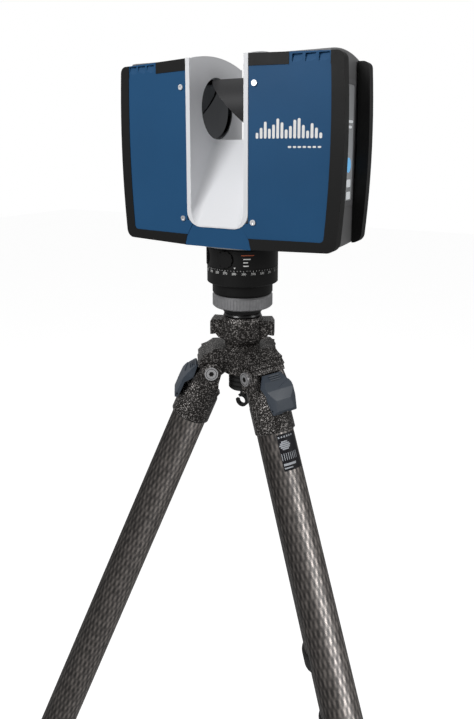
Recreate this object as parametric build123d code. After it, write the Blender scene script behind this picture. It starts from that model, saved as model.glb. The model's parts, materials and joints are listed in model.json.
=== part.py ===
"""Terrestrial laser scanner on an indexing rotator and a carbon tripod.

Millimetres, +Z up. The origin is on the pan axis at floor level. The scanner's front faces -Y and
its width runs along X. Everything above the feet is drawn from a datum in the middle of the
scanner's front face; place() lifts each piece from that datum to its height above the floor.
"""

from build123d import *
import os
from math import atan2, cos, pi, radians, sin

# ---------------------------------------------------------------- driving dimensions
# scanner head
DEPTH = 103.0                    # over the lips of the slot
CORE_HALF_X = 32.8               # half width of the white centre casting
SLOT_HALF_X = 28.4               # half width of the open slot
FACE_TOP_IN, FACE_TOP_OUT = 79.2, 77.0        # top edge of the front covers at the slot and at the end
FACE_BOT_IN, FACE_BOT_OUT = -95.4, -93.7      # bottom edge, the same two places
ARCH_RISE = 6.4                  # how much the roof rises between the front and back covers
END_TOP_X, END_MID_X, END_BOT_X = 116.4, 118.8, 113.6   # outer edge of the bumper, bowed and tapered
END_FACE_X = 104.5               # outer face of the grey end housings
COVER_FRONT_Y = 50.9             # front plane of the blue panels at the slot
COVER_BACK_Y = 40.6              # the same plane at the outer end of the scanner
COVER_T = 3.5                    # thickness of panels and rims
BUMPER_DEPTH = 12.5              # thickness of the bumper's end bar, front to back
WALL = 3.0                       # wall of the end housings
BASE_TOP, BASE_BOTTOM = -97.7, -99.9          # scanner mount plate

# mirror
MIRROR_Z = 36.0
ROTOR_R = 28.5
MIRROR_CUT_X = -1.5              # where the 45 degree mirror face crosses the rotor's axis
SHAFT_R = 5.0
RUN = 0.05                       # radial running clearance

# indexing rotator
DRUM_R, BASE_RING_R = 36.3, 31.0
DRUM_TOP, DRUM_SEAM, RING_BOTTOM, ROTATOR_BOTTOM = -100.1, -119.0, -136.5, -149.0
SPINDLE_R = 10.0

# tripod head
DISC_R, DISC_TOP, DISC_BOTTOM = 31.0, -149.2, -162.4
NECK_R, NECK_BOTTOM = 20.0, -173.2
COLUMN_R, COLUMN_END = 14.6, -252.2
COLLAR_R, COLLAR_BOTTOM, LOBE_R = 21.4, -202.0, 33.3
HUB_R = 20.3
HUB_TOP, HUB_STEP, HUB_BOTTOM = -203.8, -222.7, -233.1
PIVOT_R, PIVOT_Z = 34.0, -228.7

# legs: distances along the leg from its pivot
LEG_ANGLE = 23.0                 # from the vertical, on the first stop
LEG_YAWS = {"right": -25.8, "rear": 92.8, "left": 214.2}
UPPER_R, MIDDLE_R, LOWER_R = 18.2, 16.1, 14.0
TUBE_WALL = 1.5
CASTING_END = 56.0
UPPER_END = 640.0
LOCK_A = (622.0, 670.0)
MIDDLE_SPAN = (290.0, 880.0)
LOCK_B = (862.0, 902.0)
LOWER_SPAN = (520.0, 1090.0)
FOOT_TOP, FOOT_BALL_AT, FOOT_BALL_R, SOLE_FLAT = 1075.0, 1100.0, 15.6, 1.2

# height of the scanner's datum above the floor, so that the feet touch z = 0
HEAD_Z = -PIVOT_Z + FOOT_BALL_AT * cos(radians(LEG_ANGLE)) + FOOT_BALL_R - SOLE_FLAT


# ---------------------------------------------------------------- helpers
def face_xz(points, at_y=0.0):
    """A polygon drawn as (x, z) on a plane across Y."""
    plane = Plane(origin=(0, at_y, 0), x_dir=(1, 0, 0), z_dir=(0, -1, 0))
    return plane * make_face(Polyline(*points, close=True))


def slab_y(face, y_low, y_high):
    """A face drawn on Plane.XZ's pattern at y_high, extruded down to y_low."""
    return extrude(face, amount=y_high - y_low, dir=(0, -1, 0))


def block_y(points, y_low, y_high):
    """An (x, z) polygon between two Y planes."""
    return slab_y(face_xz(points, y_high), y_low, y_high)


def block_x(points, x_low, x_high):
    """A (y, z) polygon between two X planes."""
    plane = Plane(origin=(x_low, 0, 0), x_dir=(0, 1, 0), z_dir=(1, 0, 0))
    return extrude(plane * make_face(Polyline(*points, close=True)), amount=x_high - x_low)


def block_z(points, z_low, z_high):
    """An (x, y) polygon between two heights."""
    return extrude(Pos(0, 0, z_low) * make_face(Polyline(*points, close=True)), amount=z_high - z_low)


def box(x0, x1, y0, y1, z0, z1):
    """A box between two corners."""
    return Pos((x0 + x1) / 2, (y0 + y1) / 2, (z0 + z1) / 2) * Box(x1 - x0, y1 - y0, z1 - z0)


def rod_z(r, z0, z1, x=0.0, y=0.0):
    """A vertical cylinder between two heights."""
    return Pos(x, y, (z0 + z1) / 2) * Cylinder(r, z1 - z0)


def rod_x(r, x0, x1, y=0.0, z=0.0):
    """A cylinder along X."""
    return Pos((x0 + x1) / 2, y, z) * Rot(0, 90, 0) * Cylinder(r, x1 - x0)


def rod_y(r, y0, y1, x=0.0, z=0.0):
    """A cylinder along Y."""
    return Pos(x, (y0 + y1) / 2, z) * Rot(90, 0, 0) * Cylinder(r, y1 - y0)


def turned(points):
    """A closed (radius, z) outline turned about Z."""
    return revolve(Plane.XZ * make_face(Polyline(*points, close=True)), Axis.Z)


def ring_of(shape, count, start=0.0):
    """Copies of a shape about Z, evenly spaced."""
    return [Rot(0, 0, start + 360 / count * i) * shape for i in range(count)]


def cut_all(shape, tools):
    """shape less every tool."""
    for tool in tools:
        shape = shape - tool
    return shape


def write(name, *shapes):
    """Lifts the shapes from the datum to their height and writes them as one node."""
    lifted = [Pos(0, 0, HEAD_Z) * s for s in shapes]
    solids = [solid for s in lifted for solid in s.solids()]
    whole = solids[0] if len(solids) == 1 else Compound(children=solids)
    export_step(whole, f"parts/{name}.step")


# ---------------------------------------------------------------- scanner covers
COVER_SLOPE = (COVER_FRONT_Y - COVER_BACK_Y) / (END_MID_X - CORE_HALF_X)
PANEL_TOP_IN, PANEL_TOP_OUT = 68.4, 67.2
PANEL_BOTTOM = -84.7
PANEL_END_TOP, PANEL_END_MID, PANEL_END_BOT = 106.0, 107.2, 102.8
COMB_START = 69.7                # where the blue comb takes over from the black top bar
SEAM = 0.15                      # half the gap between neighbouring covers
LIP_BOTTOM, LIP_CORNER_R = -76.8, 15.0
SKIRT_SEAM = [(25.0, -71.0), (33.6, -86.4), (35.8, FACE_BOT_IN)]
COVER_SIDES = {"front": 0, "rear": 180}


def cover_y(x, behind=0.0):
    """The front plane of the panels, which falls back towards the ends; behind is how far inside it."""
    return -COVER_FRONT_Y + (x - CORE_HALF_X) * COVER_SLOPE + behind


def cover_slab(x_low, x_high, out, thick):
    """A slab along the inclined cover plane of the right half, standing out of it by out."""
    corners = [
        (x_low, cover_y(x_low, -out)),
        (x_high, cover_y(x_high, -out)),
        (x_high, cover_y(x_high, thick)),
        (x_low, cover_y(x_low, thick)),
    ]
    return block_z(corners, -110, 100)


def lip_outline(grow=0.0):
    """The white lip's U, rounded at its bottom corners, as a solid right through the front."""
    half, low, r = CORE_HALF_X + grow, LIP_BOTTOM - grow, LIP_CORNER_R + grow
    sketch = RectangleRounded(2 * half, 200, r)
    plane = Plane(origin=(0, -30, low + 100), x_dir=(1, 0, 0), z_dir=(0, -1, 0))
    return extrude(plane * sketch, amount=40)


def bowed_face(x_in, top_in, top_out, bottom_in, bottom_out, ends, corner_top, corner_bottom):
    """Right-hand half of the front view: straight top and bottom, and a bowed outer end."""
    end_top, end_mid, end_bot = ends
    top_corner, bottom_corner = (end_top, top_out), (end_bot, bottom_out)
    outline = [
        Line((x_in, top_in), top_corner),
        ThreePointArc(top_corner, (end_mid, 20), bottom_corner),
        Line(bottom_corner, (x_in, bottom_in)),
        Line((x_in, bottom_in), (x_in, top_in)),
    ]
    flat = make_face(outline)
    outer = flat.vertices().sort_by(Axis.X)[-2:].sort_by(Axis.Y)
    flat = fillet(outer[0], corner_bottom)
    flat = fillet(flat.vertices().filter_by(lambda v: v.X > end_top - 1 and v.Y > 50), corner_top)
    return Plane(origin=(0, -30, 0), x_dir=(1, 0, 0), z_dir=(0, -1, 0)) * flat


def seam_side(right, grow):
    """Everything below the lip on one side of the seam between skirt and cover."""
    line = [(x + (grow if right else -grow), z) for x, z in SKIRT_SEAM]
    far = 130 if right else 0
    points = line + [(line[-1][0], -110), (far, -110), (far, line[0][1])]
    return block_y(points, -70, -30)


def make_cover_right():
    """Blue panel and black rim of the front right cover, as (panel, rim solids)."""
    ends = (END_TOP_X, END_MID_X, END_BOT_X)
    panel_ends = (PANEL_END_TOP, PANEL_END_MID, PANEL_END_BOT)
    outline = extrude(
        bowed_face(20, FACE_TOP_IN, FACE_TOP_OUT, FACE_BOT_IN, FACE_BOT_OUT, ends, 6.5, 9.0), amount=40)
    blue = extrude(
        bowed_face(20, PANEL_TOP_IN, PANEL_TOP_OUT, PANEL_BOTTOM, PANEL_BOTTOM, panel_ends, 2.0, 4.0),
        amount=40)
    beside_core = box(CORE_HALF_X + 2 * SEAM, 130, -70, -30, SKIRT_SEAM[0][1], 100)
    half = beside_core + seam_side(True, SEAM)
    comb_area = box(COMB_START, PANEL_END_TOP - 0.4, -70, -30, PANEL_TOP_OUT - 4, 100)
    lip = lip_outline(2 * SEAM)
    blue_region = ((blue + comb_area) & outline & half) - lip
    panel = blue_region & cover_slab(20, 130, 0, COVER_T)
    for i in range(3):
        panel = panel - comb_scoop(COMB_START + 2.6 + i * 11.6)
    rim_region = (outline & half) - lip
    frame = rim_region & cover_slab(20, 130, 0.5, COVER_T)
    end_bar = rim_region & cover_slab(END_FACE_X + 0.3, 130, 0.5, BUMPER_DEPTH)
    blue_gap = (blue + comb_area)
    rim = (frame + end_bar) - blue_gap
    return panel, rim


def comb_scoop(x_start):
    """One finger scoop of the comb: a wedge that is deepest under the top lip and runs out below."""
    width, top, bottom, deep = 9.2, 76.2, 69.2, 2.2
    x_mid = x_start + width / 2
    face = cover_y(x_mid)
    wedge = block_x([(face - 3, top), (face + deep, top), (face - 0.02, bottom), (face - 3, bottom)],
                    x_start, x_start + width)
    return wedge


def make_skirt():
    """The blue block under the slot."""
    seam_left = [(-x, z) for x, z in reversed(SKIRT_SEAM)]
    seam_right = [(x, z) for x, z in SKIRT_SEAM]
    body = block_y(seam_left + seam_right, -COVER_FRONT_Y, -COVER_FRONT_Y + COVER_T)
    trimmed = body - seam_side(True, -SEAM) - mirror(seam_side(True, -SEAM), about=Plane.YZ)
    return trimmed - lip_outline(2 * SEAM)


def soften(shape, radius, keep):
    """Fillets the edges that keep(edge) picks."""
    edges = shape.edges().filter_by(keep)
    return fillet(edges, radius)


SCREW_AT = [(38.5, 53.4), (37.7, -69.6)]
SCREW_R = 2.6


def cover_screws():
    """The pan head screws of all four covers."""
    made = []
    for x, z in SCREW_AT:
        head = rod_y(SCREW_R, -1.3, -0.02) - rod_y(1.3, -1.4, -0.6)
        made.append(Pos(x, cover_y(x), z) * Rot(0, 0, atan2(COVER_SLOPE, 1) * 180 / pi) * head)
    right = made
    left = [mirror(s, about=Plane.YZ) for s in right]
    front = right + left
    rear = [Rot(0, 0, 180) * s for s in front]
    return front + rear


# ---------------------------------------------------------------- scanner casting and housings
RIDGE_Z = 5.6
FLOOR_SLOPE = (RIDGE_Z + 73.2) / 50.0      # the slot's floor falls this much for each mm from its ridge
WINDOW_R = 30.3
BORE_SPINDLE = 9.0


def arch(half_depth, side_z, rise, x_low, x_high, bottom_side, bottom_mid):
    """A (y, z) section with an arched roof and a slightly bellied floor, between two X planes."""
    plane = Plane(origin=(x_low, 0, 0), x_dir=(0, 1, 0), z_dir=(1, 0, 0))
    outline = [
        Line((-half_depth, bottom_side), (-half_depth, side_z)),
        ThreePointArc((-half_depth, side_z), (0, side_z + rise), (half_depth, side_z)),
        Line((half_depth, side_z), (half_depth, bottom_side)),
        ThreePointArc((half_depth, bottom_side), (0, bottom_mid), (-half_depth, bottom_side)),
    ]
    return extrude(plane * make_face(outline), amount=x_high - x_low)


def slot_cutter():
    """The open slot: a straight channel over a floor that falls to the front and to the back."""
    reach = 60.0
    low = RIDGE_Z - FLOOR_SLOPE * reach
    cutter = block_x([(-reach, low), (0, RIDGE_Z), (reach, low), (reach, 110), (-reach, 110)],
                     -SLOT_HALF_X, SLOT_HALF_X)
    long_edges = cutter.edges().filter_by(
        lambda e: abs(abs(e.center().X) - SLOT_HALF_X) < 0.01 and 20 < abs(e.center().Y) < 40
        and e.center().Z < RIDGE_Z)
    return fillet(long_edges, 9.0)


def make_chassis():
    """White centre casting: slot, roof, lips, side blocks for the window and the rotor, and the boss."""
    inner_y = COVER_FRONT_Y - COVER_T - 0.2
    core = arch(inner_y, 79.6, 6.0, -CORE_HALF_X, CORE_HALF_X, -94.6, -95.4)
    lips = []
    for turn in (0, 180):
        lip = lip_outline() & box(-40, 40, -DEPTH / 2, -inner_y, -90, 79.2)
        lips.append(Rot(0, 0, turn) * lip)
    body = core + lips[0] + lips[1]
    body = body + box(-46, 46, -34, 34, -50, 68)
    body = body + rod_z(46.0, -97.2, -95.05)
    body = body - rod_z(21.5, -99, -55)
    body = body - slot_cutter()
    body = body - rod_x(WINDOW_R + 0.05, -36.0, -18, z=MIRROR_Z)
    body = body - rod_x(14, -47, -35, z=MIRROR_Z)
    body = body - rod_x(ROTOR_R + 1.5, 16, 42, z=MIRROR_Z)
    body = body - rod_x(SHAFT_R + 1.5, 41, 47, z=MIRROR_Z)
    return body


def housing_blank(x_in, x_out, inset):
    """The outside of an end housing, or its inside when inset by the wall."""
    y_in, y_out = -cover_y(x_in, COVER_T + 0.3) - inset, -cover_y(x_out, COVER_T + 0.3) - inset
    plan = [(x_in, -y_in), (x_out, -y_out), (x_out, y_out), (x_in, y_in)]
    shape = arch(50 - inset, 76.6 - inset, 7.0, x_in, x_out, -92.6 + inset, -94.6 + inset)
    return shape & block_z(plan, -100, 100)


def make_housing():
    """Right-hand end housing: a thin shell, open towards the centre casting."""
    outer = housing_blank(CORE_HALF_X + 0.4, END_FACE_X, 0)
    inner = housing_blank(CORE_HALF_X + 0.3, END_FACE_X - WALL - 0.6, WALL)
    shell = outer - inner
    rim_edges = shell.edges().filter_by(
        lambda e: e.center().X > END_FACE_X - 0.1 and abs(e.center().Z) > 60)
    return fillet(rim_edges, 2.0)


DISPLAY_HALF_Y, DISPLAY_LOW, DISPLAY_HIGH = 28.8, -57.0, 60.0
DISPLAY_POCKET = 1.6
BUTTON_Y, BUTTON_Z, BUTTON_R = -10.0, -72.0, 5.5
BUTTON_TRAVEL = 1.2


def rounded_plate(half_y, z_low, z_high, corner, x_low, x_high):
    """A rounded rectangle standing in a YZ plane."""
    plane = Plane(origin=(x_low, 0, (z_low + z_high) / 2), x_dir=(0, 1, 0), z_dir=(1, 0, 0))
    return extrude(plane * RectangleRounded(2 * half_y, z_high - z_low, corner), amount=x_high - x_low)


DOOR = dict(half_y=25.0, low=-76.0, high=-8.0)
CARD = dict(half_y=17.0, low=24.0, high=46.0)
FLAP_T, FLAP_GAP, KNUCKLE_R = 2.4, 0.4, 1.1


def flap(half_y, low, high):
    """A lift-up flap of the left end: a plate flush with the face and a knuckle along its top edge."""
    face = -END_FACE_X
    plate = rounded_plate(half_y, low, high, 3.0, face, face + FLAP_T)
    strip = box(face - 1.6, face - 0.06, -half_y + 4, half_y - 4, high - 5, high + 1.2)
    bridge = box(face - 0.8, face + 0.6, -half_y + 4, half_y - 4, high - 5, high - 1.5)
    knuckle = rod_y(KNUCKLE_R, -half_y + 4, half_y - 4, face - KNUCKLE_R - 0.06, high + 1.2)
    pull = box(face - 1.4, face + 0.5, -8, 8, low + 3, low + 5.5)
    return plate + strip + bridge + knuckle + pull


# ---------------------------------------------------------------- mirror and what is inside
def mirror_side(offset):
    """Half space on the rotor's side of a 45 degree plane; offset moves it along X."""
    x = MIRROR_CUT_X + offset
    size = 80.0
    points = [(x - size, MIRROR_Z + size), (x + size, MIRROR_Z + size), (x + size, MIRROR_Z - size)]
    return block_y(points, -60, 60)


MIRROR_T = 2.8                   # along X; the plate is this over the root of two thick
MIRROR_R = 25.4                  # the plate's ellipse seen along the rotor's axis
ROTOR_TIP_X = -27.8              # the rotor's sharp tip is cut off here, clear of the window


def make_rotor():
    """Black rotor with its 45 degree face, a pocket there for the mirror, and its shaft."""
    body = rod_x(ROTOR_R, ROTOR_TIP_X, 41, z=MIRROR_Z) & mirror_side(0)
    pocket = rod_x(MIRROR_R + 0.05, -60, 60, z=MIRROR_Z) - mirror_side(MIRROR_T)
    return (body - pocket) + rod_x(SHAFT_R, 40, 90, z=MIRROR_Z)


def make_mirror_plate():
    """The elliptical mirror, an oblique slice set into the rotor's face."""
    return (rod_x(MIRROR_R, -60, 60, z=MIRROR_Z) & mirror_side(0.1)) - mirror_side(MIRROR_T)


def make_motor():
    """Motor housing round the rotor's shaft, with a seat for a bearing at each end."""
    body = rod_x(20, 46.2, 90, z=MIRROR_Z) - rod_x(SHAFT_R + 1, 46, 91, z=MIRROR_Z)
    return body - rod_x(11, 47.5, 55, z=MIRROR_Z) - rod_x(11, 80, 87.5, z=MIRROR_Z)


def make_bearings():
    """The rotor's two bearings."""
    rings = []
    for start in (47.8, 80.2):
        rings.append(rod_x(10.98, start, start + 7, z=MIRROR_Z)
                     - rod_x(SHAFT_R + RUN, start - 1, start + 8, z=MIRROR_Z))
    return rings


def make_window():
    """Round glass window of the laser, sunk in its rim."""
    disc = rod_x(WINDOW_R, -35.9, -31.0, z=MIRROR_Z)
    rim = rod_x(WINDOW_R, -31.1, -28.9, z=MIRROR_Z) - rod_x(WINDOW_R - 1.4, -32, -28, z=MIRROR_Z)
    return disc + rim


def make_laser_module():
    """Laser and receiver optics behind the window."""
    body = box(-88, -46.4, -24, 24, 11, 61)
    return body + rod_x(12, -47, -36.1, z=MIRROR_Z)


def make_pan_drive():
    """Pan bearing and motor in the casting's foot, round the mount plate's spindle."""
    return rod_z(21.45, -97.2, -56) - rod_z(BORE_SPINDLE + RUN, -98, -55)


def make_mount_plate():
    """Silver plate that the head turns on, with its spindle."""
    plate = turned([(0, BASE_BOTTOM), (35.8, BASE_BOTTOM), (36.6, BASE_BOTTOM + 0.8), (36.6, BASE_TOP),
                    (BORE_SPINDLE, BASE_TOP), (BORE_SPINDLE, -58), (0, -58)])
    return plate


# ---------------------------------------------------------------- indexing rotator
KNOB_YAW, LEVER_YAW = -90.0, -140.0
KNOB_Z = (DRUM_TOP + DRUM_SEAM) / 2
KNOB_POCKET_X = 28.0


def make_drum():
    """Turning upper drum with a pocket for each control."""
    body = turned([(0, DRUM_SEAM), (DRUM_R, DRUM_SEAM), (DRUM_R, DRUM_TOP - 1), (DRUM_R - 1, DRUM_TOP),
                   (0, DRUM_TOP)])
    body = body - rod_z(SPINDLE_R + RUN, DRUM_SEAM - 1, -104)
    for yaw in (KNOB_YAW, LEVER_YAW):
        pocket = rod_x(8.9, KNOB_POCKET_X, 40, z=KNOB_Z) + rod_x(3.05, 22, 40, z=KNOB_Z)
        body = body - Rot(0, 0, yaw) * pocket
    return body


def make_knob(ribs):
    """A small radial knob with a stem; it lies within the drum's radius."""
    body = rod_x(8.5, KNOB_POCKET_X + 0.3, DRUM_R + 0.8, z=KNOB_Z) + rod_x(3.0, 22.4, KNOB_POCKET_X + 1, z=KNOB_Z)
    if ribs:
        notches = [Pos(0, 0, KNOB_Z) * Rot(360 / ribs * i, 0, 0) * rod_x(1.2, KNOB_POCKET_X + 1.5, 40, z=8.9)
                   for i in range(ribs)]
        return cut_all(body, notches)
    grip = box(KNOB_POCKET_X + 1.5, 40, -12, -2.2, KNOB_Z - 12, KNOB_Z + 12)
    return body - grip - mirror(grip, about=Plane.XZ)


def make_index_base():
    """Fixed lower half with the scale band, stepped down to the tripod disc, and the drum's spindle."""
    low, band = ROTATOR_BOTTOM, RING_BOTTOM
    body = turned([(0, low), (28.8, low), (28.8, low + 1.6), (BASE_RING_R, low + 2.0),
                   (BASE_RING_R, band - 0.6), (BASE_RING_R - 0.8, band), (DRUM_R - 0.6, band),
                   (DRUM_R, band + 0.6), (DRUM_R, DRUM_SEAM - 0.3), (SPINDLE_R, DRUM_SEAM - 0.3),
                   (SPINDLE_R, -104.5), (0, -104.5)])
    return body - rod_z(4.8, low - 1, low + 10)


# ---------------------------------------------------------------- tripod head
STUD_R = 4.76                    # 3/8 inch
KNURLS = 60
SOCKET_TOP = -164.0


def make_disc():
    """Knurled platform with its stud and the neck that the column plugs into."""
    body = turned([(COLUMN_R, NECK_BOTTOM), (NECK_R - 1.4, NECK_BOTTOM), (NECK_R - 0.6, NECK_BOTTOM + 1.4),
                   (NECK_R - 1.2, NECK_BOTTOM + 3.0), (NECK_R, NECK_BOTTOM + 5.0), (NECK_R, DISC_BOTTOM - 0.8),
                   (NECK_R - 1.6, DISC_BOTTOM), (DISC_R - 1.4, DISC_BOTTOM), (DISC_R, DISC_BOTTOM + 1.4),
                   (DISC_R, DISC_TOP - 1.4), (DISC_R - 1.4, DISC_TOP), (STUD_R, DISC_TOP),
                   (STUD_R, DISC_TOP + 8.7), (0, DISC_TOP + 8.7), (0, SOCKET_TOP), (COLUMN_R, SOCKET_TOP)])
    groove = rod_z(0.55, DISC_BOTTOM + 1.5, DISC_TOP - 1.5, x=DISC_R + 0.1)
    return cut_all(body, ring_of(groove, KNURLS))


CAP_TOP = -235.4
HOOK_Z, HOOK_R, HOOK_EYE_R, HOOK_STEM_R = -267.0, 7.0, 4.0, 2.5


def make_column():
    """Short centre column tube."""
    return rod_z(COLUMN_R, CAP_TOP, SOCKET_TOP) - rod_z(COLUMN_R - 2.5, CAP_TOP - 1, SOCKET_TOP + 1)


def make_end_cap():
    """Ribbed rubber plug in the column's lower end."""
    outline = [(HOOK_STEM_R + RUN, COLUMN_END), (COLUMN_R - 1.4, COLUMN_END)]
    for i in range(3):
        z = COLUMN_END + 1.4 + i * 4.8
        outline += [(COLUMN_R - 0.1, z), (COLUMN_R - 0.1, z + 2.6), (COLUMN_R - 1.4, z + 3.2)]
    outline += [(COLUMN_R - 1.4, CAP_TOP), (COLUMN_R - 2.5, CAP_TOP), (COLUMN_R - 2.5, CAP_TOP + 9),
                (HOOK_STEM_R + RUN, CAP_TOP + 9)]
    return turned(outline)


def make_hook():
    """Small hook for a ballast bag, on a stem that slides in the end cap."""
    eye = rod_y(HOOK_R, -2, 2, 0, HOOK_Z) - rod_y(HOOK_EYE_R, -3, 3, 0, HOOK_Z)
    gap = block_y([(0, HOOK_Z), (-20, HOOK_Z + 2), (-20, HOOK_Z + 26)], -3, 3)
    return eye - gap + rod_z(HOOK_STEM_R, HOOK_Z + HOOK_R - 1, CAP_TOP + 8)


LOBE_YAW = 23.0


def make_collar():
    """Locking collar of the column: a drum with two broad wings."""
    bore, top = COLUMN_R + RUN, NECK_BOTTOM - 0.2
    body = turned([(bore, COLLAR_BOTTOM), (18.4, COLLAR_BOTTOM), (COLLAR_R, COLLAR_BOTTOM + 5.5),
                   (COLLAR_R, top - 4.0), (20.0, top), (bore, top)])
    wing = block_y([(17, top - 3.6), (LOBE_R - 3, top - 3.0), (LOBE_R, top - 6.5), (LOBE_R, top - 19.6),
                    (LOBE_R - 6, top - 18.4), (24.5, top - 22), (17, top - 25)], -9, 9)
    wing = soften(wing, 3.5, lambda e: e.center().X > LOBE_R - 0.1 and abs(e.center().Y) > 8)
    for w in ring_of(wing, 2, LOBE_YAW):
        body = body + w
    return body - rod_z(bore, COLLAR_BOTTOM - 1, top + 1)


LUG_HALF, EAR_IN, EAR_OUT = 12.0, 12.3, 20.0
TAB_PIN, TAB_PIN_R = (23.5, -34.5), 1.1
ROOF_HALF = 18.8
BOSS_R = 10.5


def polar(angle, radius):
    """A point about the leg's pivot in the arm's (radius, z) plane."""
    a = radians(angle)
    return (PIVOT_R + radius * cos(a), PIVOT_Z + radius * sin(a))


def make_spider():
    """Cast shoulder: a hub and three arms, each with a lug between the leg's ears and a stepped roof."""
    body = turned([(0, HUB_BOTTOM), (HUB_R, HUB_BOTTOM), (HUB_R, HUB_STEP), (24, HUB_STEP + 2),
                   (24, HUB_TOP - 2), (22, HUB_TOP), (18.4, HUB_TOP), (18.4, COLLAR_BOTTOM - 0.3),
                   (0, COLLAR_BOTTOM - 0.3)])
    steps = [polar(27, 14.6), polar(45, 15.4), polar(46, 17.8), polar(64, 18.6), polar(65, 20.8),
             polar(84, 21.4), (PIVOT_R - 4, HUB_TOP + 0.4), (24, HUB_TOP + 0.4)]
    under = [polar(a, 11.6) for a in (150, 120, 90, 60, 40, 27)]
    roof = steps + [(12, HUB_TOP - 1), (12, HUB_STEP + 5), (22, HUB_STEP + 5)] + under
    lug = steps + [(12, HUB_TOP - 1), (12, HUB_STEP - 6), (19, HUB_STEP - 8)]
    lug += [polar(a, 11.2) for a in (-130, -100, -70, -35, 0, 20)]
    for yaw in LEG_YAWS.values():
        arm = block_y(roof, -ROOF_HALF, ROOF_HALF) + block_y(lug, -LUG_HALF, LUG_HALF)
        body = body + Rot(0, 0, yaw) * arm
    for yaw in LEG_YAWS.values():
        body = body - Rot(0, 0, yaw) * rod_y(4.0, -30, 30, PIVOT_R, PIVOT_Z)
    return body - rod_z(COLUMN_R + RUN, HUB_BOTTOM - 5, COLLAR_BOTTOM + 5)


def make_pivot_bolts():
    """The three hinge bolts with domed heads outside the ears."""
    bolts = []
    for yaw in LEG_YAWS.values():
        shank = rod_y(4.0, -EAR_OUT - 1, EAR_OUT + 1, PIVOT_R, PIVOT_Z)
        bolt = shank
        for side in (-1, 1):
            low, high = sorted((side * (EAR_OUT + 0.1), side * (EAR_OUT + 2.6)))
            bolt = bolt + rod_y(6.8, low, high, PIVOT_R, PIVOT_Z)
        socket_depth = 1.4
        socket = rod_y(2.6, -EAR_OUT - 3, -EAR_OUT - 2.6 + socket_depth, PIVOT_R, PIVOT_Z)
        bolts.append(Rot(0, 0, yaw) * (bolt - socket))
    return bolts


# ---------------------------------------------------------------- legs, drawn hanging from the pivot
def place_leg(yaw):
    """From the leg's own frame (pivot at the origin, leg along -Z, outside +X) to the datum frame."""
    return Rot(0, 0, yaw) * Pos(PIVOT_R, 0, PIVOT_Z) * Rot(0, -LEG_ANGLE, 0)


def down(points):
    """(radius, distance along the leg) to (radius, z)."""
    return [(r, -s) for r, s in points]


def make_casting():
    """Leg casting: two ears round the spider's lug, running into a collar round the tube."""
    ear = [(-BOSS_R, 0), (-11.5, -8), (-15.8, -20), (-17.2, -30), (17.2, -30), (15.5, -20), (BOSS_R, 0)]
    ears = block_y(ear, -EAR_OUT, EAR_OUT) + rod_y(BOSS_R, -EAR_OUT, EAR_OUT)
    ears = ears - box(-30, 30, -EAR_IN, EAR_IN, -22, 30)
    rounding = rod_z(EAR_OUT, -40, 40)
    ears = ears & (rounding + box(-30, 30, -30, 30, -14, 40))
    collar = turned(down([(0, 23), (17.8, 23), (20.4, 30), (20.4, CASTING_END - 1), (19.7, CASTING_END),
                          (0, CASTING_END)]))
    fin = block_y([(-15.5, -19.2), (-19.6, -20.6), (-20.0, -22.4), (-18, -29), (-12, -29)], -5, 5)
    body = ears + collar + fin
    body = body - rod_z(UPPER_R, -CASTING_END - 1, -24.5)
    body = body - rod_y(4.05, -30, 30)
    body = body - box(-30, 30, -EAR_IN, EAR_IN, -22, 30)
    pin_x, pin_z = TAB_PIN
    lug = block_y([(15, pin_z + 6.5), (pin_x + 0.6, pin_z + 2.5), (pin_x + 1.1, pin_z), (pin_x, pin_z - 5),
                   (15, pin_z - 8.5)], -4, 4)
    lug = lug - rod_z(UPPER_R, -60, -20)
    return body + lug + rod_y(TAB_PIN_R, -13, 13, *TAB_PIN)


TAB_CROWN_R, TAB_CROWN_X = 60.0, 26.6          # the shield is crowned across
TAB_STEP = 0.9                                 # the part above the crease lies this much lower


def make_tab():
    """Pull tab of the angle stop: a curved shield on the casting's outside."""
    side = [(14.4, -0.5), (17.2, -0.4), (21.2, -7), (24.4, -16), (26.0, -26), (25.7, -36.2), (24.4, -38.8),
            (21.8, -38.4), (21.2, -35.2), (21.2, -20), (14.8, -12)]
    shield = block_y(side, -17, 17)
    front = block_x([(-10, 1), (-16.5, -12), (-16.5, -25), (-13.5, -39), (13.5, -39), (16.5, -25),
                     (16.5, -12), (10, 1)], 5, 30)
    crown = rod_z(TAB_CROWN_R, -60, 10, x=TAB_CROWN_X - TAB_CROWN_R)
    tab = shield & front & crown
    above_crease = block_x([(-20, -7), (0, -14), (20, -7), (20, 10), (-20, 10)], 5, 40)
    tab = tab - (above_crease - Pos(-TAB_STEP, 0, 0) * (shield + box(0, 14.5, -20, 20, -50, 10)))
    tab = tab - box(14.0, 24.8, -4.3, 4.3, -46, -26)
    return tab - rod_y(TAB_PIN_R + RUN, -20, 20, *TAB_PIN)


def tube(r, span):
    """A leg tube between two distances along the leg."""
    return rod_z(r, -span[1], -span[0]) - rod_z(r - TUBE_WALL, -span[1] - 1, -span[0] + 1)


def make_lock(r_over, r_through, span, r_out, seat):
    """Twist lock: a fluted grip over the end of one tube, with the next tube passing through."""
    start, end = span
    over, through = r_over + RUN, r_through + RUN
    body = turned(down([(over, start), (r_out - 2.2, start), (r_out - 0.6, start + 3), (r_out, start + 6),
                        (r_out, end - 8), (r_out - 3.0, end - 1.0), (r_out - 3.8, end), (through, end),
                        (through, seat + 1), (over, seat + 1)]))
    flute = rod_z(1.5, -end + 9, -start - 7, x=r_out + 0.7)
    return cut_all(body, ring_of(flute, 18))


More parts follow.
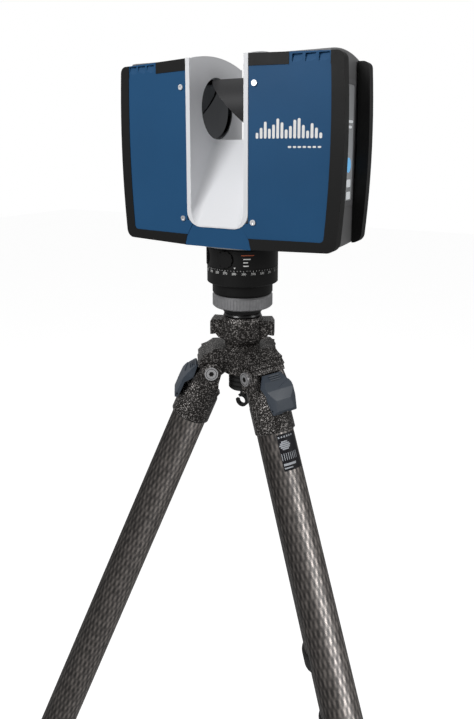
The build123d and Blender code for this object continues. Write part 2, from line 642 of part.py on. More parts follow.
def make_foot():
    """Rubber foot: a cup round the tube's end on a ball."""
    cup = turned(down([(LOWER_R, FOOT_TOP), (16.0, FOOT_TOP), (16.8, FOOT_TOP + 3), (15.2, FOOT_BALL_AT - 4),
                       (0, FOOT_BALL_AT - 4), (0, LOWER_SPAN[1]), (LOWER_R, LOWER_SPAN[1])]))
    return cup + Pos(0, 0, -FOOT_BALL_AT) * Sphere(FOOT_BALL_R) - rod_z(LOWER_R, -LOWER_SPAN[1], -FOOT_TOP + 1)


# ---------------------------------------------------------------- build
def build_scanner():
    """Writes every node of the head that turns on the mount plate."""
    panel, rim = make_cover_right()
    left_panel, left_rim = (mirror(s, about=Plane.YZ) for s in (panel, rim))
    half_turn = Rot(0, 0, 180)
    write("chassis", make_chassis())
    write("front_right_panel", panel)
    write("front_left_panel", left_panel)
    write("rear_left_panel", half_turn * panel)
    write("rear_right_panel", half_turn * left_panel)
    write("front_bumpers", rim, left_rim)
    write("rear_bumpers", half_turn * rim, half_turn * left_rim)
    skirt = make_skirt()
    write("skirts", skirt, half_turn * skirt)
    write("cover_screws", *cover_screws())

    housing = make_housing()
    pocket = rounded_plate(DISPLAY_HALF_Y, DISPLAY_LOW, DISPLAY_HIGH, 4.0, END_FACE_X - DISPLAY_POCKET,
                           END_FACE_X + 5)
    right = housing - pocket - rod_x(BUTTON_R + 0.2, END_FACE_X - 8, END_FACE_X + 5,
                                     BUTTON_Y, BUTTON_Z)
    write("right_end_housing", right)
    left = mirror(housing, about=Plane.YZ)
    for door in (DOOR, CARD):
        grown = rounded_plate(door["half_y"] + FLAP_GAP, door["low"] - FLAP_GAP, door["high"] + FLAP_GAP,
                              3.4, -END_FACE_X - 5, -END_FACE_X + 8)
        left = left - grown
    write("left_end_housing", left)
    write("battery_door", flap(**DOOR))
    write("card_cover", flap(**CARD))

    bezel = rounded_plate(DISPLAY_HALF_Y - 0.2, DISPLAY_LOW + 0.2, DISPLAY_HIGH - 0.2, 3.8,
                          END_FACE_X - DISPLAY_POCKET + 0.05, END_FACE_X + 0.5)
    glass_room = rounded_plate(25.2, DISPLAY_LOW + 5, DISPLAY_HIGH - 5, 2.2, END_FACE_X - 1.1, END_FACE_X + 5)
    write("display_bezel", bezel - glass_room)
    write("display_glass", rounded_plate(25.0, DISPLAY_LOW + 5.2, DISPLAY_HIGH - 5.2, 2.0, END_FACE_X - 1.05,
                                         END_FACE_X + 0.3))
    write("power_button", rod_x(BUTTON_R, END_FACE_X - 3.4, END_FACE_X + 1.5, BUTTON_Y, BUTTON_Z))

    write("laser_window", make_window())
    write("laser_module", make_laser_module())
    write("mirror_rotor", make_rotor())
    write("mirror_plate", make_mirror_plate())
    write("mirror_motor", make_motor(), *make_bearings())
    write("main_board", box(62, 64, -30, 30, -84, 4))
    write("battery_pack", box(-98, -58, -23, 23, -74, -10))
    write("pan_drive", make_pan_drive())


def build_head():
    """Writes the mount plate, rotator, column and spider."""
    write("scanner_mount_plate", make_mount_plate())
    write("index_drum", make_drum())
    write("selector_knob", Rot(0, 0, KNOB_YAW) * make_knob(10))
    write("index_lock", Rot(0, 0, LEVER_YAW) * make_knob(0))
    write("index_base", make_index_base())
    write("top_disc", make_disc())
    write("centre_column", make_column())
    write("column_end_cap", make_end_cap())
    write("weight_hook", make_hook())
    write("locking_collar", make_collar())
    write("spider", make_spider())
    write("leg_pivot_bolts", *make_pivot_bolts())


def build_legs():
    """Writes the eight nodes of each leg."""
    pieces = {
        "casting": make_casting(),
        "angle_tab": make_tab(),
        "upper_tube": tube(UPPER_R, (24.5, UPPER_END)),
        "upper_lock": make_lock(UPPER_R, MIDDLE_R, LOCK_A, 23.0, UPPER_END),
        "middle_tube": tube(MIDDLE_R, MIDDLE_SPAN),
        "lower_lock": make_lock(MIDDLE_R, LOWER_R, LOCK_B, 20.6, MIDDLE_SPAN[1]),
        "lower_tube": tube(LOWER_R, LOWER_SPAN),
        "foot": make_foot(),
    }
    for leg, yaw in LEG_YAWS.items():
        for piece, shape in pieces.items():
            placed = place_leg(yaw) * shape
            if piece == "foot":
                placed = placed - box(-600, 600, -600, 600, -HEAD_Z - 50, -HEAD_Z)
            write(f"{leg}_leg_{piece}", placed)


os.makedirs("parts", exist_ok=True)
build_scanner()
build_head()
build_legs()
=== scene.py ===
"""Terrestrial laser scanner on an indexing rotator and a carbon tripod: materials, small details,
light and camera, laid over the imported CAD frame. Metres, +Z up, front facing -Y; small marks are
drawn in millimetres from the datum, which is in the middle of the scanner's front face."""

import json
from math import atan2, cos, pi, radians, sin

import bpy
from mathutils import Matrix, Vector


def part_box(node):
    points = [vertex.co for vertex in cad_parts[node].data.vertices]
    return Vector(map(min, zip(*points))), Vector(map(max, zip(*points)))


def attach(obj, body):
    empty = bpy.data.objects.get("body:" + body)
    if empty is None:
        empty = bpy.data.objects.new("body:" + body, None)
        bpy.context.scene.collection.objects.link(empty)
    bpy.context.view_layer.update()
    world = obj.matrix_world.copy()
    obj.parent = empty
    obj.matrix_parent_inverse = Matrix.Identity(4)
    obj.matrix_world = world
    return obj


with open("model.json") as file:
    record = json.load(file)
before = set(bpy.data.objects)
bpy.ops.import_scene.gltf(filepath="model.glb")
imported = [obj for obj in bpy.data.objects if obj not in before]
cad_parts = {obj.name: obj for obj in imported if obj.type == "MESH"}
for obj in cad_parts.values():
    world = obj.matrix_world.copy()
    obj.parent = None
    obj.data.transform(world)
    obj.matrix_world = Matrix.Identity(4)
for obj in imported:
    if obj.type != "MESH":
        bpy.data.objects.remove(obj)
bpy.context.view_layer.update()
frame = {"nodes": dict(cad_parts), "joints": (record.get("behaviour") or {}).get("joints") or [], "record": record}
NODES = frame["nodes"]
JOINTS = {j["name"]: j for j in frame["joints"]}
SLOT_OF = {s["node"]: s["material_slot"] for s in frame["record"]["subparts"]}
LEGS = ("right", "rear", "left")
MM = 0.001
MIRROR_RISE = 0.036                                    # mirror's axis above the datum
DATUM_Z = JOINTS["mirror_spin"]["pos_m"][2] - MIRROR_RISE


# ---------------------------------------------------------------- materials
def rgb(*channels):
    """An sRGB colour, 0 to 255, as linear RGBA."""
    return tuple(c / 255 / 12.92 if c <= 10 else ((c / 255 + 0.055) / 1.055) ** 2.4
                 for c in channels) + (1.0,)


def lighter(color, factor):
    """A linear colour multiplied by a factor, no channel above white."""
    return tuple(min(1, c * factor) for c in color[:3]) + (1,)


class Finish:
    """One node material, with short calls for the nodes it needs."""

    def __init__(self, name, color, rough=0.5, metal=0.0, coat=0.0, shine=0.5):
        self.mat = bpy.data.materials.new(name)
        self.mat.use_nodes = True
        self.tree = self.mat.node_tree
        self.bsdf = self.tree.nodes["Principled BSDF"]
        self.bsdf.inputs["Base Color"].default_value = color
        self.bsdf.inputs["Roughness"].default_value = rough
        self.bsdf.inputs["Metallic"].default_value = metal
        self.bsdf.inputs["Coat Weight"].default_value = coat
        self.bsdf.inputs["Specular IOR Level"].default_value = shine
        self.coords = self.node("ShaderNodeTexCoord").outputs["Object"]
        self.bump_normal = None

    def node(self, kind, _inputs=None, **settings):
        made = self.tree.nodes.new(kind)
        for key, value in settings.items():
            setattr(made, key, value)
        for key, value in (_inputs or {}).items():
            if isinstance(value, bpy.types.NodeSocket):
                self.tree.links.new(value, made.inputs[key])
            else:
                made.inputs[key].default_value = value
        return made

    def math(self, operation, a, b=0.0, c=0.0):
        return self.node("ShaderNodeMath", {0: a, 1: b, 2: c}, operation=operation).outputs[0]

    def split(self, coords=None):
        """The X, Y and Z of a point on the surface."""
        return self.node("ShaderNodeSeparateXYZ", {0: coords or self.coords}).outputs

    def stretch(self, scale):
        """The object's coordinates scaled along each axis, for grain that runs one way."""
        return self.node("ShaderNodeMapping", {"Vector": self.coords, "Scale": scale}).outputs[0]

    def noise(self, scale, detail=2.0, rough=0.5, coords=None):
        made = self.node("ShaderNodeTexNoise", {"Vector": coords or self.coords, "Scale": scale,
                                                "Detail": detail, "Roughness": rough})
        return made.outputs["Fac"]

    def ramp(self, fac, *stops):
        made = self.node("ShaderNodeValToRGB", {"Fac": fac})
        while len(made.color_ramp.elements) < len(stops):
            made.color_ramp.elements.new(0.5)
        for element, (position, color) in zip(made.color_ramp.elements, stops):
            element.position = position
            element.color = color if isinstance(color, tuple) else (color, color, color, 1)
        return made.outputs["Color"]

    def mix(self, fac, a, b):
        made = self.node("ShaderNodeMix", {"Factor": fac}, data_type="RGBA")
        for socket, value in ((made.inputs[6], a), (made.inputs[7], b)):
            if isinstance(value, bpy.types.NodeSocket):
                self.tree.links.new(value, socket)
            else:
                socket.default_value = value
        return made.outputs[2]

    def set(self, name, socket):
        self.tree.links.new(socket, self.bsdf.inputs[name])

    def bump(self, height, strength=0.3, distance=0.0002):
        """Adds relief on top of any that is already there."""
        inputs = {"Height": height, "Strength": strength, "Distance": distance}
        if self.bump_normal:
            inputs["Normal"] = self.bump_normal
        self.bump_normal = self.node("ShaderNodeBump", inputs).outputs["Normal"]
        self.set("Normal", self.bump_normal)

    def mottle(self, color, amount, scale):
        """Base colour that drifts a little lighter and darker over the surface."""
        dark = tuple(c * (1 - amount) for c in color[:3]) + (1,)
        self.set("Base Color", self.ramp(self.noise(scale, 3), (0.3, dark),
                                         (0.7, lighter(color, 1 + amount))))

    def edge_wear(self, base, worn, amount):
        """Edges rubbed towards another colour, from the mesh's own curvature."""
        point = self.node("ShaderNodeNewGeometry").outputs["Pointiness"]
        mask = self.math("MULTIPLY", self.ramp(point, (0.52, 0.0), (0.6, 1.0)), amount)
        self.set("Base Color", self.mix(mask, base, worn))


def moulded(name, color, rough, grain=1400, strength=0.12, amount=0.04, shine=0.5):
    """Moulded plastic: fine spark texture, slight drift of colour and gloss."""
    f = Finish(name, color, rough, shine=shine)
    f.mottle(color, amount, 18)
    f.bump(f.noise(grain, 2), strength, 0.00012)
    f.set("Roughness", f.ramp(f.noise(60, 3), (0.2, rough - 0.05), (0.8, rough + 0.06)))
    return f.mat


def hammertone():
    """Hammer finish: glossy dark brown-grey lacquer, pimpled so that it sparkles in the light."""
    f = Finish("hammertone", rgb(50, 48, 46), 0.28, 0.6)
    pimples = f.noise(680, 2.5, 0.55)
    speck = f.ramp(pimples, (0.52, 0.0), (0.68, 1.0))
    base = f.mix(f.noise(120, 3), rgb(30, 28, 27), rgb(52, 49, 47))
    f.set("Base Color", f.mix(speck, base, rgb(172, 168, 165)))
    f.set("Roughness", f.ramp(pimples, (0.3, 0.2), (0.7, 0.34)))
    f.bump(pimples, 0.9, 0.0008)
    f.bump(f.noise(1500, 2), 0.2, 0.00015)
    return f.mat


STRAND_WIDTH, DIAMOND_LENGTH = 0.0048, 0.0170          # the braid round a tube and along it


def carbon(leg, radius):
    """Braided carbon fibre under lacquer, laid out round and along one leg's tube."""
    axis = Vector(JOINTS[leg + "_middle_slide"]["axis"])
    yaw = atan2(axis.y, axis.x)
    tilt = atan2(Vector((axis.x, axis.y)).length, -axis.z)
    f = Finish("carbon_" + leg, rgb(60, 56, 54), 0.5, 0.5)
    pivot = JOINTS[leg + "_leg_fold"]["pos_m"]
    place = f.node("ShaderNodeMapping", {"Vector": f.coords, "Location": pivot,
                                         "Rotation": (0, -tilt, yaw)}, vector_type="TEXTURE")
    in_leg = f.split(place.outputs[0])
    strands = round(2 * pi * radius / STRAND_WIDTH)
    around = f.math("MULTIPLY", f.math("ARCTAN2", in_leg["Y"], in_leg["X"]), strands)
    along = f.math("MULTIPLY", in_leg["Z"], 2 * pi / DIAMOND_LENGTH)
    rising = f.math("SINE", f.math("ADD", around, along))
    falling = f.math("SINE", f.math("SUBTRACT", around, along))
    weave = f.math("MULTIPLY_ADD", f.math("ADD", rising, falling), 0.25, 0.5)
    patchy = f.math("MULTIPLY_ADD", f.noise(160, 3, 0.6), 0.5, f.math("MULTIPLY", weave, 0.42))
    f.set("Base Color", f.ramp(patchy, (0.28, rgb(25, 23, 22)), (0.46, rgb(55, 52, 50)),
                               (0.68, rgb(94, 89, 86))))
    f.set("Metallic", f.ramp(weave, (0.0, 0.45), (1.0, 0.7)))
    f.set("Roughness", f.ramp(weave, (0.0, 0.54), (1.0, 0.44)))
    f.bump(weave, 0.2, 0.0002)
    f.bump(f.noise(2500, 2), 0.1, 0.0001)
    return f.mat


def powder(name, color, rough=0.4):
    """Powder coat on a casting: fine orange peel."""
    f = Finish(name, color, rough)
    f.mottle(color, 0.015, 10)
    f.bump(f.noise(850, 2), 0.10, 0.0002)
    f.set("Roughness", f.ramp(f.noise(25, 2), (0.3, rough - 0.04), (0.7, rough + 0.06)))
    return f.mat


def metal(name, color, rough, grain=(1, 1, 60), scale=300, strength=0.1):
    """Machined metal with fine turning marks."""
    f = Finish(name, color, rough, 1.0)
    marks = f.noise(scale, 3, 0.6, f.stretch(grain))
    f.set("Roughness", f.ramp(marks, (0.3, max(0.05, rough - 0.08)), (0.7, rough + 0.1)))
    f.bump(marks, strength, 0.0001)
    f.mottle(color, 0.05, 120)
    return f.mat


LATHE_LINES = (1, 1, 40)                               # noise pressed into lines round +Z


def anodised(name, color, rough):
    """Black anodised part: dark, faintly rubbed on its edges, turned."""
    f = Finish(name, color, rough, 0.2, shine=0.3)
    f.bump(f.noise(220, 2, 0.5, f.stretch(LATHE_LINES)), 0.08, 0.0001)
    f.edge_wear(color, lighter(color, 3.2), 0.35)
    return f.mat


def screen():
    """The display's glass: a pale page with a soft vertical fall-off."""
    f = Finish("display_glass", rgb(150, 156, 162), 0.18, 0.0, 0.6)
    low_edge, per_metre = DATUM_Z - 0.05, 9.0
    height = f.math("MULTIPLY_ADD", f.split()["Z"], per_metre, -per_metre * low_edge)
    f.set("Base Color", f.ramp(height, (0.0, rgb(186, 188, 190)), (0.35, rgb(222, 226, 230)),
                               (0.7, rgb(200, 202, 204)), (1.0, rgb(178, 180, 182))))
    f.set("Roughness", f.ramp(f.noise(35, 3), (0.3, 0.14), (0.7, 0.26)))
    return f.mat


def window():
    """Laser window: dark glossy glass that mirrors what faces it."""
    f = Finish("window_glass", rgb(84, 86, 89), 0.03, 1.0)
    f.set("Roughness", f.ramp(f.noise(30, 2), (0.3, 0.02), (0.8, 0.05)))
    f.set("Base Color", f.ramp(f.noise(25, 2), (0.3, rgb(80, 82, 85)), (0.7, rgb(92, 94, 97))))
    return f.mat


def turned_disc():
    """The tripod's platform: grey knurled rim over a glossy black neck."""
    rim_bottom = DATUM_Z - 0.16235
    f = Finish("turned_disc", rgb(138, 138, 140), 0.4, 0.9)
    rim = f.math("GREATER_THAN", f.split()["Z"], rim_bottom)
    greys = f.mix(f.noise(260, 3), rgb(158, 158, 160), rgb(188, 188, 190))
    f.set("Base Color", f.mix(rim, rgb(12, 12, 12), greys))
    f.set("Metallic", f.math("MULTIPLY", rim, 0.9))
    f.set("Roughness", f.math("MULTIPLY_ADD", rim, 0.16, 0.26))
    f.bump(f.noise(260, 2, 0.5, f.stretch(LATHE_LINES)), 0.08, 0.0001)
    return f.mat


def glow(name, color, strength):
    """A lit mark on the display."""
    f = Finish(name, color, 0.3)
    f.set("Emission Color", f.mix(f.noise(400, 1), color, lighter(color, 1.15)))
    f.bsdf.inputs["Emission Strength"].default_value = strength
    return f.mat


def printed(name, color):
    """Screen-printed ink, very slightly uneven."""
    f = Finish(name, color, 0.55)
    f.mottle(color, 0.03, 300)
    f.bump(f.noise(3000, 2), 0.1, 0.00005)
    return f.mat


MATS = {
    "blue_panel": moulded("blue_panel", rgb(36, 79, 118), 0.42, shine=0.12),
    "black_bumper": moulded("black_bumper", rgb(22, 22, 22), 0.5, 1100, 0.18, 0.07, 0.2),
    "white_casting": powder("white_casting", rgb(224, 225, 228)),
    "grey_housing": moulded("grey_housing", rgb(112, 112, 113), 0.42),
    "screw_steel": metal("screw_steel", rgb(236, 236, 238), 0.42),
    "display_frame": moulded("display_frame", rgb(116, 116, 118), 0.35),
    "display_glass": screen(),
    "window_glass": window(),
    "mirror_face": metal("mirror_face", rgb(226, 230, 232), 0.04, (1, 1, 1), 20, 0.0),
    "black_anodised": anodised("black_anodised", rgb(16, 16, 16), 0.42),
    "motor_steel": metal("motor_steel", rgb(120, 121, 124), 0.35),
    "circuit_board": moulded("circuit_board", rgb(30, 92, 52), 0.4),
    "battery_case": moulded("battery_case", rgb(52, 53, 55), 0.5),
    "silver_plate": metal("silver_plate", rgb(205, 206, 208), 0.28),
    "knurled_grey": turned_disc(),
    "black_plug": moulded("black_plug", rgb(26, 26, 26), 0.5, 900, 0.2, 0.1),
    "hammertone": hammertone(),
    "slate_tab": moulded("slate_tab", rgb(60, 68, 78), 0.36, 1200, 0.08),
    "lock_rubber": moulded("lock_rubber", rgb(34, 34, 34), 0.7, 700, 0.3, 0.1),
}
ONE_NODE_MATS = {
    "mirror_rotor": anodised("rotor_black", rgb(34, 34, 35), 0.55),
    "weight_hook": moulded("hook_black", rgb(20, 20, 20), 0.35),
}
TUBE_RADII = {"upper": 0.0182, "middle": 0.0161, "lower": 0.0140}


def dress(obj, material):
    """Gives an object one material in every slot."""
    if not obj.material_slots:
        obj.data.materials.append(material)
    for each in obj.material_slots:
        each.material = material


for name, obj in NODES.items():
    if SLOT_OF[name] == "carbon":
        leg, _, section, _ = name.split("_")
        dress(obj, carbon(leg, TUBE_RADII[section]))
    else:
        dress(obj, ONE_NODE_MATS.get(name, MATS[SLOT_OF[name]]))

# ---------------------------------------------------------------- softened edges on the CAD nodes
BEVELS = {
    0.0003: ["cover_screws", "display_bezel"],
    0.0004: ["battery_door", "card_cover", "index_drum", "index_base"],
    0.0005: ["front_left_panel", "front_right_panel", "rear_left_panel", "rear_right_panel",
             "skirts", "selector_knob", "index_lock"]
            + [leg + lock for leg in LEGS for lock in ("_leg_upper_lock", "_leg_lower_lock")],
    0.0006: ["chassis", "weight_hook"],
    0.0007: ["spider", "leg_pivot_bolts"],
    0.0008: ["left_end_housing", "right_end_housing"],
    0.0009: ["locking_collar"]
            + [leg + piece for leg in LEGS for piece in ("_leg_casting", "_leg_angle_tab")],
    0.0012: ["front_bumpers", "rear_bumpers"],
}
for width, names in BEVELS.items():
    for name in names:
        soft = NODES[name].modifiers.new("soft_edges", "BEVEL")
        soft.width = width
        soft.segments = 3
        soft.limit_method = "ANGLE"
        soft.angle_limit = radians(35)
        soft.harden_normals = False


# ---------------------------------------------------------------- small details
def mesh_piece(name, verts, faces, material, body):
    """A mesh object from plain lists, riding on a body."""
    mesh = bpy.data.meshes.new(name)
    mesh.from_pydata([tuple(v) for v in verts], [], faces)
    mesh.update()
    obj = bpy.data.objects.new(name, mesh)
    bpy.context.collection.objects.link(obj)
    mesh.materials.append(material)
    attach(obj, body)


def letters(text, size):
    """Outline of a short text as flat (x, y) vertices and faces, centred."""
    curve = bpy.data.curves.new("glyphs", "FONT")
    curve.body = text
    curve.size = size
    curve.align_x = "CENTER"
    curve.align_y = "CENTER"
    curve.resolution_u = 3
    holder = bpy.data.objects.new("glyphs", curve)
    mesh = bpy.data.meshes.new_from_object(holder)
    verts = [(v.co.x, v.co.y) for v in mesh.vertices]
    faces = [tuple(p.vertices) for p in mesh.polygons]
    bpy.data.meshes.remove(mesh)
    bpy.data.objects.remove(holder)
    bpy.data.curves.remove(curve)
    return verts, faces


class Print:
    """Flat marks gathered as (u, v) shapes and laid onto a surface afterwards."""

    def __init__(self):
        self.verts, self.faces = [], []

    def add(self, verts, faces, u=0.0, v=0.0):
        start = len(self.verts)
        self.verts += [(x + u, y + v) for x, y in verts]
        self.faces += [tuple(i + start for i in face) for face in faces]

    def strip(self, u0, u1, v0, v1, steps):
        """A rectangle cut into strips along u, so that it can follow a curve."""
        row = [u0 + (u1 - u0) * i / steps for i in range(steps + 1)]
        self.add([(u, v0) for u in row] + [(u, v1) for u in row],
                 [(i, i + 1, steps + i + 2, steps + i + 1) for i in range(steps)])

    def bar(self, u0, u1, v0, v1):
        """A bar in metres, in strips of about 1.5 mm."""
        self.strip(u0, u1, v0, v1, max(1, int(abs(u1 - u0) / 0.0015)))

    def wrap(self, turn_low, turn_high, near, far):
        """A patch round a tube between two angles (degrees) and two distances along it (mm)."""
        self.strip(radians(turn_low), radians(turn_high), near, far,
                   max(1, round((turn_high - turn_low) / 2)))

    def rounded(self, cx, cy, half_w, half_h, r, steps=5):
        """A rectangle with rounded corners, as one face."""
        verts = []
        for k, (sx, sy) in enumerate(((1, 1), (-1, 1), (-1, -1), (1, -1))):
            for i in range(steps + 1):
                a = pi / 2 * (k + i / steps)
                verts.append((cx + sx * (half_w - r) + r * cos(a),
                              cy + sy * (half_h - r) + r * sin(a)))
        self.add(verts, [tuple(range(len(verts)))])


WHITE_INK = printed("white_ink", rgb(232, 232, 230))
ORANGE_INK = printed("orange_ink", rgb(198, 96, 60))
SILVER_INK = printed("silver_ink", rgb(176, 180, 186))

# the rotator's dial, under the seam between drum and base, and plain marks on the drum above it
drum_low, drum_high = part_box("index_drum")
drum_radius, seam = drum_high[0], drum_low[2]
FRONT_MARK = -61.4                                     # direction of the marks, degrees from +X


def on_rotator(name, shapes, ink, body, proud=0.00008):
    """Marks round the pan axis: u is arc length from +X, v is height above the seam."""
    radius = drum_radius + proud
    verts = [(cos(u / drum_radius) * radius, sin(u / drum_radius) * radius, seam + v)
             for u, v in shapes.verts]
    mesh_piece(name, verts, shapes.faces, ink, body)


dial = Print()
for degrees in range(0, 360, 15):
    dial.add(*letters(str(degrees), 0.0031), radians(degrees) * drum_radius, -0.0042)
TICK_TOP, TICK_HALF = -0.0008, 0.00014
for degrees in range(0, 360, 5):
    middle = radians(degrees) * drum_radius
    tall = 0.0016 if degrees % 15 == 0 else 0.0009
    dial.bar(middle - TICK_HALF, middle + TICK_HALF, TICK_TOP - tall, TICK_TOP)
on_rotator("dial_marks", dial, WHITE_INK, "column")

facing = radians(FRONT_MARK) * drum_radius
notes = Print()
for row, width in enumerate((0.0052, 0.0046, 0.0070)):
    low = 0.0034 + row * 0.0033
    notes.bar(facing + 0.0005, facing + 0.0005 + width, low, low + 0.0010)
for quarter in range(4):
    arrow = radians(FRONT_MARK + 90 * quarter) * drum_radius - 0.008
    notes.add([(arrow - 0.0009, 0.0022), (arrow + 0.0009, 0.0022), (arrow, 0.0006)], [(0, 1, 2)])
on_rotator("drum_marks", notes, WHITE_INK, "drum")
warm = Print()
warm.bar(facing - 0.0016, facing + 0.0110, 0.0138, 0.0146)
on_rotator("drum_line", warm, ORANGE_INK, "drum")

# bars like a scanned skyline, and a row of dashes, on the right front cover
COVER_IN_X, COVER_OUT_X = 32.8, 118.8
COVER_FRONT_Y, COVER_SETBACK = -50.9, 10.3
COVER_SLOPE = COVER_SETBACK / (COVER_OUT_X - COVER_IN_X)
SKYLINE = (0.30, 0.55, 0.85, 0.50, 0.70, 1.00, 0.80, 0.45,
           0.62, 0.92, 1.00, 0.66, 0.38, 0.74, 0.52, 0.28)
SKYLINE_FOOT, SKYLINE_TOP = 5.4, 22.6


def on_cover(x, z, proud=0.06):
    """A point of the sloping cover in metres, from x and height in millimetres."""
    y = COVER_FRONT_Y + (x - COVER_IN_X) * COVER_SLOPE - proud
    return x * MM, y * MM, DATUM_Z + z * MM


emblem = Print()
for i, tall in enumerate(SKYLINE):
    half = 0.5 * (SKYLINE_TOP - SKYLINE_FOOT) * tall
    emblem.rounded(41.2 + i * 3.82, SKYLINE_FOOT + half, 1.25, half, 1.2)
for i in range(7):
    emblem.rounded(71.2 + i * 4.4, -1.9, 1.55, 0.8, 0.75)
mesh_piece("cover_emblem", [on_cover(x, z) for x, z in emblem.verts], emblem.faces, WHITE_INK,
           "head")

# the display's page: plain symbols only
PAGE_X = 104.85                                        # 0.05 mm in front of the glass


def on_page(name, shapes, material):
    """Symbols on the display, from y and height in millimetres."""
    verts = [(PAGE_X * MM, y * MM, DATUM_Z + z * MM) for y, z in shapes.verts]
    mesh_piece(name, verts, shapes.faces, material, "head")


page = Print()
for i, wide in enumerate((8.5, 5.5)):
    page.rounded(15.0, 21.5 - i * 5.0, wide, 1.2, 1.1)
for i in range(4):
    page.rounded(-19.0 + i * 2.6, 49.0 + i * 0.55, 0.85, 1.0 + i * 0.55, 0.4)
for row in range(2):
    for col in range(3):
        page.rounded(-15.5 + col * 15.5, -35.5 - row * 11.5, 5.6, 3.6, 1.4)
on_page("display_symbols", page, glow("page_white", rgb(236, 240, 244), 0.25))
disc = Print()
disc.rounded(14.0, -18.5, 7.0, 7.0, 6.9, 10)
on_page("display_start", disc, glow("page_blue", rgb(120, 188, 238), 0.45))

# seams across the bowed roofs of the grey end housings
SEAM_INK = moulded("seam_dark", rgb(52, 53, 55), 0.6)
ROOF_TOP, ROOF_RADIUS = 83.6, (50.0 ** 2 + 7.0 ** 2) / (2 * 7.0)
SEAM_EDGES, SEAM_HALF_Y, SEAM_STEPS = (100.2, 100.8), 38.6, 24
for side, name in ((1, "right"), (-1, "left")):
    verts = []
    for i in range(SEAM_STEPS + 1):
        y = SEAM_HALF_Y * (2 * i / SEAM_STEPS - 1)
        z = ROOF_TOP - ROOF_RADIUS + (ROOF_RADIUS ** 2 - y ** 2) ** 0.5 + 0.06
        verts += [(side * x * MM, y * MM, DATUM_Z + z * MM) for x in SEAM_EDGES]
    faces = [(2 * i, 2 * i + 1, 2 * i + 3, 2 * i + 2) for i in range(SEAM_STEPS)]
    mesh_piece(name + "_roof_seam", verts, faces, SEAM_INK, "head")


def leg_point(leg, x, y, along):
    """A point in a leg's own frame (outwards, sideways, distance down the leg) in millimetres."""
    axis = Vector(JOINTS[leg + "_middle_slide"]["axis"])
    side = Vector(JOINTS[leg + "_leg_fold"]["axis"])
    out = side.cross(-axis)
    return Vector(JOINTS[leg + "_leg_fold"]["pos_m"]) + (out * x + side * y + axis * along) * MM


# a dark label with plain bars at the top of the right leg's tube
LABEL_RADIUS, MARKS_RADIUS = 18.30, 18.38
LABEL_DARK = moulded("label_dark", rgb(22, 22, 27), 0.4, shine=0.3)
label, marks = Print(), Print()
label.wrap(-36, 34, 58.0, 92.5)
for i in range(6):
    marks.wrap(-33 + i * 9, -28 + i * 9, 60.0, 61.5)
for i, wide in enumerate((10, 15, 18, 15, 10)):
    marks.wrap(-16 - wide, -16 + wide, 64.6 + i * 1.7, 65.9 + i * 1.7)
for i in range(8):
    marks.wrap(-34 + i * 7, -32 + i * 7, 76.0, 82.6)
marks.wrap(-33, 8, 85.4, 87.6)
marks.wrap(-33, -6, 89.2, 90.4)
for name, shapes, radius, ink in (("leg_label", label, LABEL_RADIUS, LABEL_DARK),
                                  ("leg_label_marks", marks, MARKS_RADIUS, SILVER_INK)):
    verts = [leg_point("right", radius * cos(a), radius * sin(a), v) for a, v in shapes.verts]
    mesh_piece(name, verts, shapes.faces, ink, "right_leg")

# three raised ridges at the top of each angle tab
RIDGES = ((18.3, 2.2), (19.35, 4.2), (20.4, 6.2))      # outwards from the leg's axis, down the leg
RIDGE_X, RIDGE_HALF_Y, RIDGE_HALF_Z = (-1.2, 0.45), 6.5, 0.45
BOX_FACES = ((0, 1, 3, 2), (4, 6, 7, 5), (0, 4, 5, 1), (2, 3, 7, 6), (0, 2, 6, 4), (1, 5, 7, 3))
for leg in LEGS:
    verts, faces = [], []
    for x, along in RIDGES:
        base = len(verts)
        verts += [leg_point(leg, x + dx, y, along + dz) for dx in RIDGE_X
                  for y in (-RIDGE_HALF_Y, RIDGE_HALF_Y) for dz in (-RIDGE_HALF_Z, RIDGE_HALF_Z)]
        faces += [tuple(base + i for i in face) for face in BOX_FACES]
    mesh_piece(leg + "_tab_ridges", verts, faces, MATS["slate_tab"], leg + "_tab")

# flat dark steel marks on both ends of each hinge bolt: painted shade for a turned ring and for the recess of a
# hexagon socket
BOLT_END = 22.64                                       # 0.04 mm past the bolt's head
RING_IN, RING_OUT, SOCKET_CORNER = 0.0050, 0.0055, 0.0027
SPOKES = 48
ring_verts, ring_faces, socket_verts, socket_faces = [], [], [], []
for leg in LEGS:
    fold = JOINTS[leg + "_leg_fold"]
    side = Vector(fold["axis"])
    out = Vector((side.y, -side.x, 0))
    for end in (-1, 1):
        centre = Vector(fold["pos_m"]) + side * end * BOLT_END * MM
        turns = [2 * pi * i / SPOKES for i in range(SPOKES)]
        spokes = [out * cos(a) + Vector((0, 0, sin(a))) for a in turns]
        base, count = len(ring_verts), 2 * SPOKES
        for spoke in spokes:
            ring_verts += [centre + spoke * RING_IN, centre + spoke * RING_OUT]
        ring_faces += [(base + i, base + i + 1, base + (i + 3) % count, base + (i + 2) % count)
                       for i in range(0, count, 2)]
        base = len(socket_verts)
        socket_verts += [centre + spoke * SOCKET_CORNER for spoke in spokes[::SPOKES // 6]]
        socket_faces.append(tuple(range(base, base + 6)))
# the dark steel of the ring and the socket is painted shade on the bright bolt head, not a different metal
PAINTED_SHADE_STEEL = metal("bolt_painted_shade", rgb(52, 51, 50), 0.5)
mesh_piece("bolt_ring_shade", ring_verts, ring_faces, PAINTED_SHADE_STEEL, "spider")
mesh_piece("bolt_socket_shade", socket_verts, socket_faces, PAINTED_SHADE_STEEL, "spider")

# ---------------------------------------------------------------- floor and room
scene = bpy.context.scene
scene.view_settings.view_transform = "Standard"

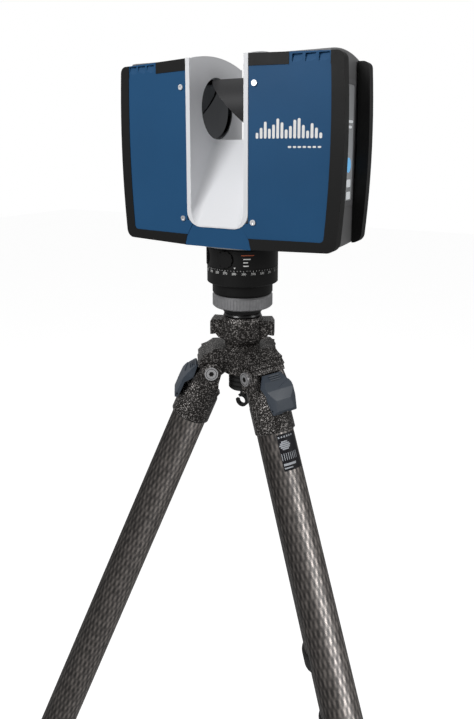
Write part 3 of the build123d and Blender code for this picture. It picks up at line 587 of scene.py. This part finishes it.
# the floor glows a little for the camera only, so that it meets the white wall without an edge
FLOOR_HALF, FLOOR_SEEN_GLOW = 9, 0.78
PALE, WHITE = (0.55, 0.55, 0.55, 1), (1, 1, 1, 1)
floor_mesh = bpy.data.meshes.new("floor")
floor_mesh.from_pydata([(x * FLOOR_HALF, y * FLOOR_HALF, 0)
                        for x, y in ((-1, -1), (1, -1), (1, 1), (-1, 1))], [], [(0, 1, 2, 3)])
floor = bpy.data.objects.new("floor", floor_mesh)
bpy.context.collection.objects.link(floor)
floor_look = Finish("floor_pale", PALE, 0.9)
floor_look.mottle(PALE, 0.004, 2)
floor_look.bsdf.inputs["Emission Color"].default_value = WHITE
floor_seen = floor_look.node("ShaderNodeLightPath").outputs["Is Camera Ray"]
floor_look.set("Emission Strength", floor_look.math("MULTIPLY", floor_seen, FLOOR_SEEN_GLOW))
floor_mesh.materials.append(floor_look.mat)

# the wall is plain white to the camera, and the light it gives is dimmer
ROOM_LIGHT, WALL_SEEN = 0.34, 1.0
world = bpy.data.worlds.new("studio")
scene.world = world
world.use_nodes = True
seen = world.node_tree.nodes.new("ShaderNodeLightPath")
level = world.node_tree.nodes.new("ShaderNodeMath")
level.operation = "MULTIPLY_ADD"
level.inputs[1].default_value = WALL_SEEN - ROOM_LIGHT
level.inputs[2].default_value = ROOM_LIGHT
background = world.node_tree.nodes["Background"]
background.inputs["Color"].default_value = WHITE
world.node_tree.links.new(seen.outputs["Is Camera Ray"], level.inputs[0])
world.node_tree.links.new(level.outputs[0], background.inputs["Strength"])

# ---------------------------------------------------------------- lamps
CAM_AZ = radians(28.592)
UP = Vector((0, 0, 1))
right = Vector((cos(CAM_AZ), sin(CAM_AZ), 0))
ahead = Vector((-sin(CAM_AZ), cos(CAM_AZ), 0))


def area(name, place, target, size, power):
    """A soft area light; places are (right, towards the camera, above the datum)."""
    lamp = bpy.data.lights.new(name, "AREA")
    lamp.shape = "RECTANGLE"
    lamp.size, lamp.size_y = size
    lamp.energy = power
    obj = bpy.data.objects.new(name, lamp)
    start, end = [right * x - ahead * y + UP * (DATUM_Z + z) for x, y, z in (place, target)]
    obj.location = start
    obj.rotation_euler = (end - start).to_track_quat("-Z", "Y").to_euler()
    bpy.context.collection.objects.link(obj)
    return obj


area("key", (-1.1, 1.2, 0.8), (0, 0, -0.05), (0.8, 0.8), 23)
area("side", (1.6, 0.6, 0.6), (0, 0, -0.1), (0.6, 0.8), 6)
area("top", (0.0, -0.2, 1.6), (0, 0, 0), (1.2, 1.2), 6)
# a low lamp that lights the carbon tubes only
leg_light = area("legs", (0.85, 1.10, -0.40), (0.1, 0, -0.45), (0.6, 0.8), 42)
lit = bpy.data.collections.new("lit_by_leg_light")
for name, obj in NODES.items():
    if SLOT_OF[name] == "carbon":
        lit.objects.link(obj)
leg_light.light_linking.receiver_collection = lit

# ---------------------------------------------------------------- camera
CAM_DOWN, CAM_DIST = radians(9.653), 0.60471
CAM_SIDE, CAM_LIFT = -0.003485, -0.004121
SENSOR, LENS = 36.0, 30.0417                           # millimetres
forward = ahead * cos(CAM_DOWN) - UP * sin(CAM_DOWN)
upward = ahead * sin(CAM_DOWN) + UP * cos(CAM_DOWN)
camera_data = bpy.data.cameras.new("camera")
camera_data.sensor_width = SENSOR
camera_data.lens = LENS
camera_data.shift_x = -0.00305
camera_data.shift_y = -0.15
camera_data.clip_start = 0.05
camera = bpy.data.objects.new("camera", camera_data)
spot = -ahead * CAM_DIST + right * CAM_SIDE + UP * (DATUM_Z + CAM_LIFT)
facing_axes = Matrix((right, upward, -forward)).transposed()
camera.matrix_world = Matrix.Translation(spot) @ facing_axes.to_4x4()
bpy.context.collection.objects.link(camera)
scene.camera = camera
